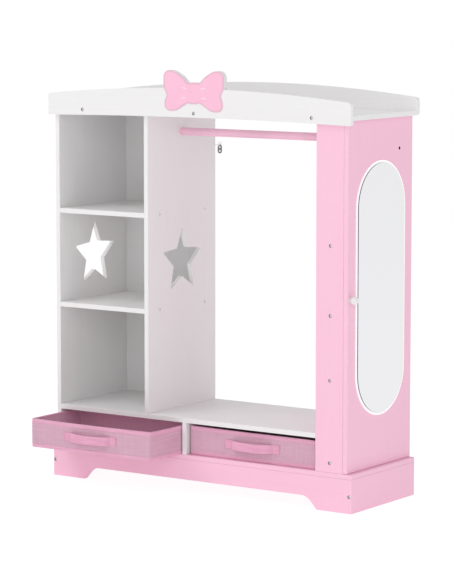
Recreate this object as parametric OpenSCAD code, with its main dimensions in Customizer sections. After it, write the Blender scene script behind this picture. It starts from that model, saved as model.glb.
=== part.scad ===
// Dress up storage unit with a mirrored side door.
// Origin: middle of the plinth's back bottom edge. +X to the right, -Y to the front, +Z up.

/* [Carcass] */
// Width of the base board and of the top panel
unit_w = 900; // [760:5:1100]
// Depth of the carcass, front face to back face
unit_d = 295; // [240:1:360]
// Height of the top panel's underside above the floor
carcass_h = 940; // [860:5:1140]
// Thickness of every board
board_t = 12; // [10:0.5:15]
// How far the base board and the top panel stand out past the sides
side_lip = 13; // [8:0.5:20]
// Clear width of the shelf bay
shelf_bay_w = 265; // [220:1:330]
// Chamfer that eases each board's edges
ease = 0.5; // [0.4:0.1:1.5]

/* [Plinth] */
// Height of the plinth
plinth_h = 83; // [60:1:110]
// Width of each foot at the floor
foot_w = 98; // [70:1:130]
// Height of the cut between the feet
toe_h = 32; // [20:1:45]
// Sideways run of the slope from a foot up to the cut
foot_run = 28; // [20:1:40]
// Radius that blends the slope into the cut
foot_blend_r = 40; // [20:1:50]

/* [Shelves] */
// Clear height under the lower shelf
low_space_h = 252; // [200:1:300]
// Clear height between the two shelves
mid_space_h = 228; // [190:1:275]
// Distance from the divider's middle to each shelf screw
shelf_screw_y = 97.5; // [60:0.5:110]

/* [Star] */
// Radius of the star to its unrounded tips
star_tip_r = 88; // [60:1:110]
// Radius of the star to the inner corners
star_notch_r = 40; // [30:1:50]
// How far the star stands above the middle of its bay
star_lift = 4; // [-10:0.5:15]
// Rounding of the tips
star_round_r = 3; // [1:0.5:5]

/* [Drawer bay] */
// Clear height of the drawer bay
drawer_bay_h = 80; // [66:1:100]
// Distance from the floor panel's middle to each screw into the drawer divider
floor_screw_y = 74; // [50:1:95]

/* [Fabric bins] */
// Gap at each side of a bin
bin_side_gap = 4; // [2:0.5:8]
// Gap over a bin
bin_top_gap = 7.7; // [4:0.1:12]
// How far a closed bin's front stands back from the carcass front
bin_recess = 12; // [0:1:25]
// Gap behind a closed bin
bin_back_gap = 67; // [2:1:90]
// Thickness of a bin's padded wall
bin_wall = 3.5; // [2:0.5:6]
// Thickness of a bin's fabric floor
bin_floor = 2; // [1:0.5:4]
// Rounding of a bin's upright corners
bin_corner_r = 6; // [3:0.5:15]
// Thickness of the board in a bin's floor
insert_t = 3; // [2:0.5:5]
// How far the left bin is pulled out at rest
left_bin_pull = 139; // [0:1:190]

/* [Bin handles] */
// Overall width of a strap handle
handle_w = 162; // [120:1:200]
// Height of the strap
strap_h = 22; // [14:1:28]
// Thickness of the strap
strap_t = 2.5; // [1.5:0.5:4]
// Length of the stitched tab at each end
strap_tab = 22; // [12:1:30]
// How far the strap bows out from the bin
strap_bow = 15; // [8:1:25]
// Height of the strap's middle above the bin's underside
strap_rise = 37.4; // [25:0.1:45]

/* [Crown] */
// Height of the crown's top corners above the top panel's underside
crown_end_h = 42.5; // [30:0.5:60]
// Rise of the front crown's top edge from its corners to its middle
crown_arch_h = 22.5; // [0:0.5:40]
// Rise of the back crown's top edge from its corners to its middle
back_arch_h = 26.5; // [0:0.5:45]
// How far the front crown board hangs below the top panel at its ends
crown_hang = 12; // [0:1:20]
// Rise of the hanging edge from its ends to its middle
crown_hang_arch = 6; // [0:1:12]
// Rounding of the crown's top corners
crown_top_r = 8; // [2:1:15]
// Rounding of the crown's bottom corners
crown_bottom_r = 5; // [2:1:10]
// Distance from the middle to each outer crown screw
crown_screw_x = 341; // [250:1:350]
// Height of the front crown's screws above the top panel's underside
crown_screw_rise = 4; // [3.5:0.5:8]

/* [Bow] */
// Height of the bow's lowest edge above the top panel's underside
bow_rise = 9; // [6:0.5:14]
// Thickness of the bow's face plate
bow_t = 1.5; // [1:0.5:4]
// Width of the step along the edge of the bow's face
bow_rim_w = 4; // [1:0.5:4]
// Depth of that step
bow_rim_depth = 0.3; // [0.2:0.1:0.5]
// Depth of the pleats pressed into the bow
pleat_depth = 0.6; // [0.2:0.1:0.9]
// Width of a pleat at its middle
pleat_w = 3.5; // [2:0.5:5]
// Length of a pleat
pleat_len = 22; // [14:1:24]

/* [Hanging rod] */
// Diameter of the hanging rod
rod_d = 20; // [16:0.5:28]
// Distance from the top panel's underside to the rod's middle
rod_drop = 52; // [30:1:90]

/* [Cabinet] */
// Width of the front stile
stile_w = 77; // [60:0.5:100]
// Joint between the stile and the door
door_joint = 0.5; // [0.4:0.1:2]
// Gap over the door, and under it
door_gap = 0.8; // [0.5:0.1:5]
// Height of the bottom cabinet shelf above the base board
cabinet_bottom_rise = 17; // [5:1:40]
// Clear height of the lowest cabinet space
cabinet_space_1 = 188; // [140:1:220]
// Clear height of the second cabinet space
cabinet_space_2 = 144; // [110:1:180]
// Clear height of the third cabinet space
cabinet_space_3 = 156; // [120:1:190]
// Distance from the stile's left edge to its screws
stile_screw_x = 41; // [25:1:48]

/* [Mirror] */
// Distance from the door's upright edges to the white surround
mirror_side_margin = 35.5; // [25:0.5:45]
// Distance from the door's top edge to the surround
mirror_top_margin = 100; // [60:0.5:130]
// Distance from the door's bottom edge to the surround
mirror_bottom_margin = 125; // [60:0.5:150]
// Thickness of the surround
surround_t = 2; // [1.5:0.5:6]
// Width of the surround that shows round the mirror
surround_border = 6; // [4:0.5:16]
// Thickness of the mirror plate
mirror_t = 2; // [1.5:0.5:5]

/* [Knob] */
// Distance from the door's front edge to the knob's axis
knob_inset = 11.5; // [10.5:0.5:16]
// Height of the knob's axis above the middle cabinet shelf
knob_rise = 33.5; // [25:0.5:60]
// Radius of the knob's head
knob_r = 10; // [8:0.5:14]
// Length of the knob
knob_len = 22.5; // [18:0.5:34]

/* [Hinges] */
// Distance from each end of the door to the middle of a hinge
hinge_end_gap = 76; // [40:1:120]
// Height of a hinge
hinge_h = 40; // [30:1:60]
// Thickness of a hinge leaf
leaf_t = 1.2; // [1:0.1:1.6]
// Radius of the hinge pin
pin_r = 1.2; // [1:0.05:1.5]
// Wall of the knuckle round the pin
knuckle_wall = 1.15; // [0.8:0.05:1.6]
// Distance of the lone screw on the door's face from the door's back edge
face_screw_y = 61; // [40:1:80]

/* [Catch] */
// Height of the magnetic catch above the knob's axis
catch_rise = 35; // [30:1:60]
// Height of the catch's magnet
catch_h = 27; // [20:1:34]
// Depth of the magnet behind the stile
catch_d = 15; // [10:1:20]

/* [Restraint] */
// Distance from the top panel's underside to the eye's shank
eye_drop = 94.2; // [60:0.1:140]
// Distance from the back face to the middle of the eye's ring
eye_reach = 25; // [16:1:32]
// Radius of the ring to the middle of its wire
eye_ring_r = 5.5; // [5:0.5:9]
// Radius of the ring's wire
eye_wire_r = 1; // [0.8:0.1:1.5]
// Width of the two-eyed link
link_w = 13; // [11:0.5:16]
// Distance between the link's two holes
link_pitch = 10.3; // [8:0.1:16]
// Thickness of the link
link_t = 1.5; // [1:0.1:2]
// Radius of each of the link's holes
link_hole_r = 2.6; // [2.2:0.1:3.2]

/* [Fasteners] */
// Radius of a wood screw's head
screw_head_r = 4.5; // [3:0.1:4.7]
// Radius of a wood screw's shank
screw_shank_r = 1.9; // [1.5:0.1:2.4]
// Length of a wood screw
screw_len = 38; // [30:1:45]
// Depth of a screw's countersunk head
screw_head_h = 2.6; // [2:0.1:4]
// How far a wood screw's head sits under the surface
screw_sink = 3; // [0:0.5:3.5]
// Distance from a panel's front and back edges to the screws in its ends
end_screw_inset = 59; // [45:1:80]
// Radius of a small screw's head
small_head_r = 2.6; // [2.2:0.1:3]
// Radius of the dark screw's head on the door's face
face_screw_head_r = 4; // [2.5:0.1:4]
// Radius of a small screw's shank
small_shank_r = 1.25; // [1:0.05:1.5]
// Thickness of board left beyond a small screw's tip
small_skin = 2; // [1.5:0.5:4]
// Radius of a dowel
dowel_r = 3; // [2:0.5:4]
// Length of a dowel
dowel_len = 16; // [12:1:18]
// Distance from each end of the plinth to its outer dowels
dowel_inset = 90; // [60:1:140]

/* [Clearances] */
// Gap all round a screw, a dowel or a rod end in its hole
hole_gap = 0.05; // [0.03:0.01:0.1]
// Radial gap between the hinge pin and its knuckles
pin_gap = 0.05; // [0.02:0.01:0.08]
// Gap between hinge parts that pass each other
hinge_gap = 0.2; // [0.15:0.05:0.4]
// Gap under a fabric bin, and at the magnetic catch
rest_gap = 0.3; // [0.2:0.05:0.5]
// Gap between the cabinet shelves and the closed door
shelf_door_gap = 1; // [0.8:0.1:3]

/* [Hidden] */

$fn = 48;
tiny = 0.01;             // overlap that joins two solids of one piece, or lets a cut break through
white = "#EBEBEB";
pink = "#FBC5DA";
steel = "#B9BCC0";
fabric_mauve = "#D0A4B8";
webbing_pink = "#E9A9C6";

// Heights
base_top = plinth_h + board_t;
floor_bottom = base_top + drawer_bay_h;
floor_top = floor_bottom + board_t;
low_shelf_z = floor_top + low_space_h;
up_shelf_z = low_shelf_z + board_t + mid_space_h;
top_z = carcass_h + board_t;

// Widths: every upright's left face
left_out = side_lip - unit_w / 2;
left_in = left_out + board_t;
divider_x = left_in + shelf_bay_w;
door_out = unit_w / 2 - side_lip;
door_in = door_out - board_t;
stile_out = door_in - door_joint;
stile_x = stile_out - stile_w;
inner_panel_out = stile_x + board_t;
drawer_divider_x = (left_in + stile_x - board_t) / 2;

// Depths: the front face, and the faces behind the stile and before the back boards
front_y = -unit_d;
stile_back_y = front_y + board_t;
back_in_y = -board_t;
mid_y = -unit_d / 2;
end_screw_y = [front_y + end_screw_inset, -end_screw_inset];

// Sideways places of the screws into the stiles' ends and of the outer dowels
stile_end_screw_x = stile_out - stile_w / 4;
dowel_x = unit_w / 2 - dowel_inset;

// Cabinet shelves, by the height of each one's underside
cabinet_z = [
  for (i = [0:3]) base_top + cabinet_bottom_rise + i * board_t
    + (i > 0 ? cabinet_space_1 : 0) + (i > 1 ? cabinet_space_2 : 0) + (i > 2 ? cabinet_space_3 : 0)
];
shelf_reach_x = door_in - shelf_door_gap;
knob_z = cabinet_z[2] + board_t + knob_rise;
knob_y = front_y + knob_inset;

// Door, and the stadium that the surround and the mirror share
door_bottom = base_top + door_gap;
door_top = carcass_h - door_gap;
surround_w = unit_d - 2 * mirror_side_margin;
surround_bottom = door_bottom + mirror_bottom_margin;
surround_h = door_top - mirror_top_margin - surround_bottom;
surround_z = surround_bottom + surround_h / 2;

// Hinge axis: in the joint between the rear stile's edge and the door, just behind both
knuckle_r = pin_r + pin_gap + knuckle_wall;
hinge_x = door_in - leaf_t - hinge_gap / 2;
hinge_y = knuckle_r + hinge_gap;
rear_stile_out = hinge_x - hinge_gap / 2 - leaf_t;
leaf_w = board_t - 0.5;
upper_hinge_z = door_top - hinge_end_gap;
lower_hinge_z = door_bottom + hinge_end_gap;
knuckle_h = (hinge_h - 2 * hinge_gap) / 3;
pin_head_h = 1;

// Catch: the magnet stands behind the stile, rest_gap short of its plate on the door
catch_z = knob_z + catch_rise;
catch_w = 23.5;
catch_plate_x = door_in - leaf_t;
catch_magnet_x = catch_plate_x - rest_gap - catch_w;
catch_plate_y = stile_back_y + 2;
catch_screw_rise = catch_h * 0.28;
catch_screw_len = catch_d + board_t * 0.4;

// How deep a small screw, the knob's screw and a plinth dowel reach
small_len = board_t - small_skin;
knob_screw_len = board_t + knob_len * 0.55;
dowel_in_base = board_t * 0.6;

// Bins
left_bay_w = drawer_divider_x - left_in;
bin_w = left_bay_w - 2 * bin_side_gap;
bin_h = drawer_bay_h - bin_top_gap - rest_gap;
bin_d = unit_d - bin_recess - board_t - bin_back_gap;
bin_z = base_top + rest_gap;
closed_front_y = front_y + bin_recess;
left_bin_x = left_in + left_bay_w / 2;
right_bin_x = (drawer_divider_x + board_t + stile_x) / 2;
insert_gap = 1;

// Star: centred by its own height between the two shelves
star_step = 36;
star_z = (low_shelf_z + board_t + up_shelf_z) / 2 + star_lift - star_tip_r * (1 - cos(star_step)) / 2;

// Restraint: the ring stands upright and square to the back, and the link hangs on its lowest wire
eye_inset = 3.5;         // from the divider's right face
eye_x = divider_x + board_t - eye_inset;
eye_z = carcass_h - eye_drop;
wire_z = eye_z - eye_ring_r;
link_rest_gap = 0.1;
link_hole_z = wire_z - (link_hole_r - eye_wire_r - link_rest_gap);
eye_shank_in = 16;

// Bow: corners of its right half [x, height above its lowest edge, rounding], from the knot's underside
// outwards round the lower lobe, the waist and the upper lobe, to the top of the knot
bow_half = [
  [9, 18, 12], [17.5, 20.5, 2], [52, 0, 38], [87.5, 0, 16], [86, 24, 12], [79.5, 39, 8], [89.5, 57, 20],
  [90, 99.5, 18], [60, 99.5, 38], [33, 84.5, 40], [17.5, 68.5, 2], [9, 70.5, 12]
];
// Pleats: [distance from the middle to a pleat's middle, its height above the bow's lowest edge, its tilt]
pleats = [[28, 56.5, 11], [30, 32.5, -4]];

// ---------- shapes ----------

// Points along the rounding of corner b, between a and c; each corner is [x, y, radius]
function corner(a, b, c) =
  let (
    u = unit2(a, b),
    v = unit2(c, b),
    half = acos(max(-1, min(1, u * v))) / 2,
    reach = b[2] / tan(half),
    turn = cross([u[0], u[1], 0], [v[0], v[1], 0])[2] < 0 ? 1 : -1,
    side = [-u[1], u[0]] * -turn,
    centre = [b[0], b[1]] + u * reach + side * b[2],
    start = atan2(-side[1], -side[0]),
    sweep = (180 - 2 * half) * turn,
    steps = max(2, ceil(abs(sweep) / 9))
  )
  b[2] <= 0 ? [[b[0], b[1]]]
    : [for (i = [0:steps]) centre + b[2] * [cos(start + sweep * i / steps), sin(start + sweep * i / steps)]];

// Direction from point b to point a, of length 1
function unit2(a, b) = [a[0] - b[0], a[1] - b[1]] / norm([a[0] - b[0], a[1] - b[1]]);

// Outline with every corner rounded by its own radius
function rounded(corners) =
  let (n = len(corners))
  [for (i = [0:n - 1]) each corner(corners[(i + n - 1) % n], corners[i], corners[(i + 1) % n])];

// Right half of an outline and its mirror image, in one ring
function both_halves(half) =
  concat(half, [for (i = [len(half) - 1:-1:0]) [-half[i][0], half[i][1], half[i][2]]]);

// Height of a shallow arch at x, from end_z at the unit's ends to end_z + rise in its middle
function arch_z(x, end_z, rise) = end_z + rise * (1 - pow(2 * x / unit_w, 2));

module eased_rect(w, h) {
  polygon([[ease, 0], [w - ease, 0], [w, ease], [w, h - ease], [w - ease, h], [ease, h], [0, h - ease], [0, ease]]);
}

// Board between two opposite corners, with every edge chamfered
module board(low, high) {
  size = high - low;
  translate(low)
    intersection() {
      linear_extrude(size[2]) eased_rect(size[0], size[1]);
      translate([0, size[1], 0]) rotate([90, 0, 0]) linear_extrude(size[1]) eased_rect(size[0], size[2]);
      rotate([90, 0, 90]) linear_extrude(size[0]) eased_rect(size[1], size[2]);
    }
}

// Plate cut from an outline drawn in X and Z: its front face at y, its thickness towards the back
module upright_plate(y, t) {
  translate([0, y + t, 0]) rotate([90, 0, 0]) linear_extrude(t) children();
}

// Plate cut from an outline drawn in Y and Z: its left face at x, its thickness towards the right
module side_plate(x, t) {
  translate([x, 0, 0]) rotate([90, 0, 90]) linear_extrude(t) children();
}

// Outline with half-round ends, its middle at the origin
module stadium(w, h) {
  square([w, h - w], center = true);
  for (end = [-1, 1]) translate([0, end * (h - w) / 2]) circle(r = w / 2, $fn = 96);
}

module star_outline() {
  translate([mid_y, star_z])
    polygon(rounded([
      for (i = [0:9])
        let (r = i % 2 == 0 ? star_tip_r : star_notch_r, a = 90 + i * star_step)
        [r * cos(a), r * sin(a), i % 2 == 0 ? star_round_r : 0]
    ]));
}

module star_cut(x) {
  side_plate(x - 1, board_t + 2) star_outline();
}

// Ring of corners drawn inwards by a distance; the ring runs anticlockwise
function inset(corners, distance) =
  let (n = len(corners))
  [
    for (i = [0:n - 1])
      let (
        b = corners[i],
        u = unit2(corners[(i + n - 1) % n], b),
        v = unit2(corners[(i + 1) % n], b),
        turn = cross(u, v),
        shift = (u + v) * distance / -turn
      )
      [b[0] + shift[0], b[1] + shift[1], b[2] + (turn < 0 ? -distance : distance)]
  ];

module bow_outline(distance = 0) {
  translate([0, carcass_h + bow_rise]) polygon(rounded(inset(both_halves(bow_half), distance)));
}

// ---------- fasteners: each lies along -Z, and the origin is on the surface over its head ----------

// A hole is larger than its screw by grow, and opens out by rise over the head
module countersunk(head_r, shank_r, head_h, length, grow = 0, rise = 0) {
  tip_h = shank_r;
  rotate_extrude()
    polygon([
      [0, grow + rise], [head_r + grow, grow + rise], [head_r + grow, 0], [shank_r + grow, -head_h],
      [shank_r + grow, -length + tip_h], [0, -length - grow]
    ]);
}

module hex_key(r, depth) {
  translate([0, 0, -depth]) cylinder(r = r, h = depth + 1, $fn = 6);
}

module wood_screw() {
  translate([0, 0, -screw_sink])
    difference() {
      countersunk(screw_head_r, screw_shank_r, screw_head_h, screw_len);
      hex_key(screw_head_r * 0.3, screw_head_h * 0.4);
    }
}

module wood_screw_hole() {
  translate([0, 0, -screw_sink])
    countersunk(screw_head_r, screw_shank_r, screw_head_h, screw_len, hole_gap, screw_sink);
}

module small_screw(length = small_len, head_r = small_head_r) {
  difference() {
    countersunk(head_r, small_shank_r, leaf_t, length);
    hex_key(head_r * 0.4, leaf_t * 0.6);
  }
}

module small_screw_hole(length = small_len, head_r = small_head_r) {
  countersunk(head_r, small_shank_r, leaf_t, length, hole_gap);
}

// Turns what lies along -Z towards the named side
module to_back() rotate([90, 0, 0]) children();
module to_front() rotate([-90, 0, 0]) children();
module to_right() rotate([0, -90, 0]) children();
module to_left() rotate([0, 90, 0]) children();
module to_top() rotate([180, 0, 0]) children();

module crown_screw_places() {
  for (x = [-crown_screw_x, 0, crown_screw_x]) {
    translate([x, front_y - board_t, carcass_h + crown_screw_rise]) to_back() children();
    translate([x, board_t, carcass_h + board_t / 2]) to_front() children();
  }
}

// Middles of the uprights that the top panel and the base board are screwed to
module upright_screw_places(z) {
  for (y = end_screw_y) {
    translate([left_out + board_t / 2, y, z]) children();
    translate([stile_x + board_t / 2, y, z]) children();
  }
  for (y = [front_y + board_t / 2, -board_t / 2])
    translate([stile_end_screw_x, y, z]) children();
}

module top_screw_places() {
  upright_screw_places(top_z) children();
  for (y = end_screw_y)
    translate([divider_x + board_t / 2, y, top_z]) children();
}

module base_screw_places() {
  upright_screw_places(plinth_h) to_top() children();
  for (y = end_screw_y)
    translate([drawer_divider_x + board_t / 2, y, plinth_h]) to_top() children();
}

module side_screw_places() {
  for (y = [mid_y - shelf_screw_y, mid_y + shelf_screw_y])
    for (z = [floor_bottom, low_shelf_z, up_shelf_z])
      translate([left_out, y, z + board_t / 2]) to_right() children();
  for (z = [(base_top + floor_bottom) / 2, (floor_top + low_shelf_z) / 2, (up_shelf_z + carcass_h) / 2])
    translate([left_out, -board_t / 2, z]) to_right() children();
}

module divider_screw_places() {
  for (y = [mid_y - shelf_screw_y, mid_y + shelf_screw_y])
    for (z = [low_shelf_z, up_shelf_z])
      translate([divider_x + board_t, y, z + board_t / 2]) to_left() children();
}

module floor_screw_places() {
  for (y = [mid_y - floor_screw_y, mid_y + floor_screw_y]) {
    translate([drawer_divider_x + board_t / 2, y, floor_top]) children();
    translate([divider_x + board_t / 2, y, floor_bottom]) to_top() children();
    translate([inner_panel_out, y, floor_bottom + board_t / 2]) to_left() children();
  }
}

module stile_screw_places() {
  for (z = cabinet_z) {
    translate([stile_x + stile_screw_x, front_y, z + board_t / 2]) to_back() children();
    translate([stile_x + stile_screw_x, 0, z + board_t / 2]) to_front() children();
  }
}

module plinth_screw_places() {
  for (side = [-1, 1]) {
    translate([side * (unit_w - board_t) / 2, front_y, plinth_h / 2]) to_back() children();
    translate([side * (unit_w - board_t) / 2, 0, plinth_h / 2]) to_front() children();
  }
}

// Dowels stand half in the plinth and half in the base board
module plinth_dowel_places() {
  for (y = [front_y + board_t / 2, -board_t / 2])
    for (i = [-1:1])
      translate([i * dowel_x, y, plinth_h]) children();
  for (side = [-1, 1])
    translate([side * (unit_w - board_t) / 2, mid_y, plinth_h]) children();
}

module dowel(grow = 0) {
  translate([0, 0, dowel_in_base - dowel_len - grow]) cylinder(r = dowel_r + grow, h = dowel_len + 2 * grow);
}

module rod_screw_places() {
  translate([divider_x, mid_y, carcass_h - rod_drop]) to_right() children();
  translate([inner_panel_out, mid_y, carcass_h - rod_drop]) to_left() children();
}

module hinge_screw_places(x) {
  for (z = [upper_hinge_z, lower_hinge_z])
    for (up = [-1, 1])
      translate([x, -leaf_w / 2, z + up * hinge_h / 3]) children();
}

module frame_leaf_screw_places() hinge_screw_places(rear_stile_out + leaf_t) to_left() children();

module door_leaf_screw_places() hinge_screw_places(door_in - leaf_t) to_right() children();

module catch_magnet_screw_places() {
  for (up = [-1, 1])
    translate([catch_magnet_x + catch_w / 2, stile_back_y + catch_d, catch_z + up * catch_screw_rise])
      to_front() children();
}

module catch_plate_screw_place() {
  translate([catch_plate_x, catch_plate_y + catch_d / 2, catch_z]) to_right() children();
}

module knob_screw_place() {
  translate([door_in, knob_y, knob_z]) to_right() children();
}

module door_face_screw_place() {
  translate([door_out, -face_screw_y, upper_hinge_z]) to_left() children();
}

// ---------- plinth and base ----------

// Front board's lower outline: two feet and the cut between them
module toe_outline() {
  foot_x = unit_w / 2 - foot_w;
  polygon(rounded([
    [-foot_x, -1, 0], [-foot_x, 0, 0], [-foot_x + foot_run, toe_h, foot_blend_r],
    [foot_x - foot_run, toe_h, foot_blend_r], [foot_x, 0, 0], [foot_x, -1, 0]
  ]));
}

module plinth_front() {
  color(pink)
    difference() {
      board([-unit_w / 2, front_y, 0], [unit_w / 2, stile_back_y, plinth_h]);
      upright_plate(front_y - 1, board_t + 2) toe_outline();
      plinth_screw_places() wood_screw_hole();
      plinth_dowel_places() dowel(hole_gap);
    }
}

module plinth_back() {
  color(pink)
    difference() {
      board([-unit_w / 2, back_in_y, 0], [unit_w / 2, 0, plinth_h]);
      plinth_screw_places() wood_screw_hole();
      plinth_dowel_places() dowel(hole_gap);
    }
}

module plinth_side(x) {
  color(pink)
    difference() {
      board([x, stile_back_y, 0], [x + board_t, back_in_y, plinth_h]);
      plinth_screw_places() wood_screw_hole();
      plinth_dowel_places() dowel(hole_gap);
    }
}

module plinth_left() plinth_side(-unit_w / 2);

module plinth_right() plinth_side(unit_w / 2 - board_t);

module base_board() {
  color(pink)
    difference() {
      board([-unit_w / 2, front_y, plinth_h], [unit_w / 2, 0, base_top]);
      base_screw_places() wood_screw_hole();
      plinth_dowel_places() dowel(hole_gap);
    }
}

// ---------- shelf bay, hanging bay and drawer bay ----------

module left_side_panel() {
  color(white)
    difference() {
      board([left_out, front_y, base_top], [left_in, 0, carcass_h]);
      star_cut(left_out);
      side_screw_places() wood_screw_hole();
      top_screw_places() wood_screw_hole();
      base_screw_places() wood_screw_hole();
    }
}

module divider_panel() {
  color(white)
    difference() {
      board([divider_x, front_y, floor_top], [divider_x + board_t, 0, carcass_h]);
      star_cut(divider_x);
      divider_screw_places() wood_screw_hole();
      floor_screw_places() wood_screw_hole();
      top_screw_places() wood_screw_hole();
      rod_screw_places() wood_screw_hole();
      eye_shank(hole_gap);
    }
}

module left_bay_back() {
  color(white)
    difference() {
      board([left_in, back_in_y, floor_top], [divider_x, 0, carcass_h]);
      side_screw_places() wood_screw_hole();
    }
}

module shelf(z) {
  color(white)
    difference() {
      board([left_in, front_y, z], [divider_x, back_in_y, z + board_t]);
      side_screw_places() wood_screw_hole();
      divider_screw_places() wood_screw_hole();
    }
}

module upper_shelf() shelf(up_shelf_z);

module lower_shelf() shelf(low_shelf_z);

module floor_panel() {
  color(white)
    difference() {
      board([left_in, front_y, floor_bottom], [stile_x, 0, floor_top]);
      side_screw_places() wood_screw_hole();
      floor_screw_places() wood_screw_hole();
    }
}

module drawer_divider() {
  color(white)
    difference() {
      board([drawer_divider_x, front_y, base_top], [drawer_divider_x + board_t, back_in_y, floor_bottom]);
      floor_screw_places() wood_screw_hole();
      base_screw_places() wood_screw_hole();
    }
}

module drawer_bay_back() {
  color(white)
    difference() {
      board([left_in, back_in_y, base_top], [stile_x, 0, floor_bottom]);
      side_screw_places() wood_screw_hole();
    }
}

module top_panel() {
  color(white)
    difference() {
      board([-unit_w / 2, front_y, carcass_h], [unit_w / 2, 0, top_z]);
      top_screw_places() wood_screw_hole();
      crown_screw_places() wood_screw_hole();
    }
}

module hanging_rod() {
  left_end = divider_x + board_t;
  color(pink)
    difference() {
      translate([left_end, mid_y, carcass_h - rod_drop])
        rotate([0, 90, 0]) cylinder(r = rod_d / 2, h = stile_x - left_end);
      rod_screw_places() wood_screw_hole();
    }
}

// ---------- crown and bow ----------

arch_steps = 18;

// Crown board's outline: a top edge that rises by top_arch in its middle, and a bottom edge by hang_arch
module crown_outline(bottom_z, hang_arch, top_arch) {
  top_end_z = carcass_h + crown_end_h;
  polygon(rounded(concat(
    [[-unit_w / 2, bottom_z, crown_bottom_r]],
    [for (i = [1:arch_steps - 1])
      let (x = unit_w * (i / arch_steps - 0.5)) [x, arch_z(x, bottom_z, hang_arch), 0]],
    [[unit_w / 2, bottom_z, crown_bottom_r], [unit_w / 2, top_end_z, crown_top_r]],
    [for (i = [arch_steps - 1:-1:1])
      let (x = unit_w * (i / arch_steps - 0.5)) [x, arch_z(x, top_end_z, top_arch), 0]],
    [[-unit_w / 2, top_end_z, crown_top_r]]
  )));
}

module crown_front() {
  color(white)
    difference() {
      upright_plate(front_y - board_t, board_t) {
        crown_outline(carcass_h - crown_hang, crown_hang_arch, crown_arch_h);
        bow_outline();
      }
      crown_screw_places() wood_screw_hole();
    }
}

module crown_back() {
  color(white)
    difference() {
      upright_plate(0, board_t) crown_outline(carcass_h, 0, back_arch_h);
      crown_screw_places() wood_screw_hole();
    }
}

// Leaf-shaped pleat, pointed at both ends, its middle at the origin
module pleat_outline() {
  arc_r = (pow(pleat_len / 2, 2) + pow(pleat_w / 2, 2)) / pleat_w;
  shift = arc_r - pleat_w / 2;
  intersection() {
    translate([0, shift]) circle(r = arc_r, $fn = 96);
    translate([0, -shift]) circle(r = arc_r, $fn = 96);
  }
}

module bow_face() {
  face_y = front_y - board_t - bow_t;
  color(pink)
    difference() {
      union() {
        upright_plate(face_y + bow_rim_depth, bow_t - bow_rim_depth) bow_outline();
        upright_plate(face_y, bow_t) bow_outline(bow_rim_w);
      }
      upright_plate(face_y - 1, 1 + pleat_depth)
        for (p = pleats)
          for (side = [-1, 1])
            translate([side * p[0], carcass_h + bow_rise + p[1]]) rotate(side * p[2]) pleat_outline();
    }
}

// ---------- cabinet ----------

module cabinet_inner_panel() {
  color(pink)
    difference() {
      board([stile_x, stile_back_y, base_top], [inner_panel_out, back_in_y, carcass_h]);
      floor_screw_places() wood_screw_hole();
      top_screw_places() wood_screw_hole();
      base_screw_places() wood_screw_hole();
      rod_screw_places() wood_screw_hole();
    }
}

module front_stile() {
  color(pink)
    difference() {
      board([stile_x, front_y, base_top], [stile_out, stile_back_y, carcass_h]);
      stile_screw_places() wood_screw_hole();
      top_screw_places() wood_screw_hole();
      base_screw_places() wood_screw_hole();
      catch_magnet_screw_places() small_screw_hole(catch_screw_len);
    }
}

module rear_stile() {
  color(pink)
    difference() {
      board([stile_x, back_in_y, base_top], [rear_stile_out, 0, carcass_h]);
      stile_screw_places() wood_screw_hole();
      top_screw_places() wood_screw_hole();
      base_screw_places() wood_screw_hole();
      frame_leaf_screw_places() small_screw_hole();
    }
}

module cabinet_shelf(i) {
  color(pink)
    difference() {
      board([inner_panel_out, stile_back_y, cabinet_z[i]], [shelf_reach_x, back_in_y, cabinet_z[i] + board_t]);
      stile_screw_places() wood_screw_hole();
      base_screw_places() wood_screw_hole();
      floor_screw_places() wood_screw_hole();
    }
}

module cabinet_shelf_bottom() cabinet_shelf(0);

module cabinet_shelf_low() cabinet_shelf(1);

module cabinet_shelf_middle() cabinet_shelf(2);

module cabinet_shelf_upper() cabinet_shelf(3);

// ---------- mirrored door ----------

module mirror_door() {
  color(pink)
    difference() {
      board([door_in, front_y, door_bottom], [door_out, 0, door_top]);
      knob_screw_place() small_screw_hole(knob_screw_len);
      door_leaf_screw_places() small_screw_hole();
      catch_plate_screw_place() small_screw_hole();
      door_face_screw_place() small_screw_hole(small_len, face_screw_head_r);
    }
}

module mirror_surround() {
  color(white)
    side_plate(door_out, surround_t) translate([mid_y, surround_z]) stadium(surround_w, surround_h);
}

module mirror_glass() {
  color("#DDE3E6")
    side_plate(door_out + surround_t, mirror_t)
      translate([mid_y, surround_z])
        stadium(surround_w - 2 * surround_border, surround_h - 2 * surround_border);
}

// Turned knob along +Z: foot and neck, then a ball
module knob_body() {
  foot_r = knob_r * 0.8;
  neck_r = knob_r * 0.5;
  foot_h = knob_len * 0.12;
  ball_z = knob_len - knob_r;
  rotate_extrude()
    polygon(rounded([
      [0, 0, 0], [foot_r, 0, 0], [foot_r, foot_h, 1], [neck_r, foot_h, 0], [neck_r, ball_z, 0], [0, ball_z, 0]
    ]));
  translate([0, 0, ball_z]) sphere(r = knob_r, $fn = 96);
}

module door_knob() {
  color(white)
    difference() {
      translate([door_out, knob_y, knob_z]) rotate([0, 90, 0]) knob_body();
      knob_screw_place() small_screw_hole(knob_screw_len);
    }
}

module knob_screw() {
  color(steel) knob_screw_place() small_screw(knob_screw_len);
}

module door_face_screw() {
  color("#3A2A30") door_face_screw_place() small_screw(small_len, face_screw_head_r);
}

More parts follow.
